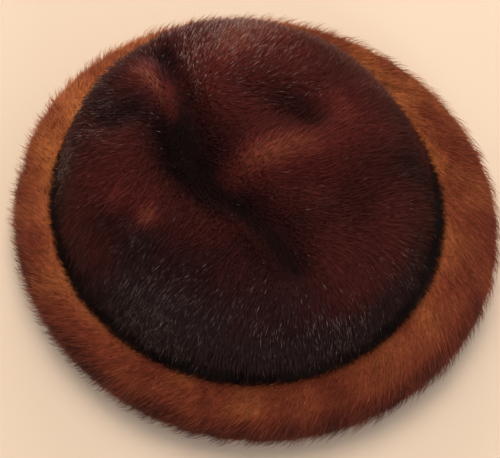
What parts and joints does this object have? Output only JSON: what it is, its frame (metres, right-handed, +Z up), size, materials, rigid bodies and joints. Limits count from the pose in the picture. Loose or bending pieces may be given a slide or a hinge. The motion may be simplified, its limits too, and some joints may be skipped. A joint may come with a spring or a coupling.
{
  "type": "fur hat",
  "caption": "Soft fur hat with a puffed crown creased across its top, a low dark band under it, and a thick rolled brim in a lighter fur all round.",
  "frame": {"origin": "on the surface that the hat rests on, under the middle of its outline", "axes": "+Z up, +Y towards the back of the hat along its longer way, +X to the wearer's right"},
  "size_m": [0.2624, 0.2802, 0.0932],
  "materials": {
    "crown_fur": "deep reddish-brown mink, glossy guard hairs over a dense underfur",
    "band_fur": "near-black brown mink, short and dense",
    "brim_fur": "honey and rust-brown mink, brushed slantwise over the roll"
  },
  "bodies": {
    "root": {"crown": "crown_fur", "side_band": "band_fur", "brim": "brim_fur"}
  },
  "joints": []
}
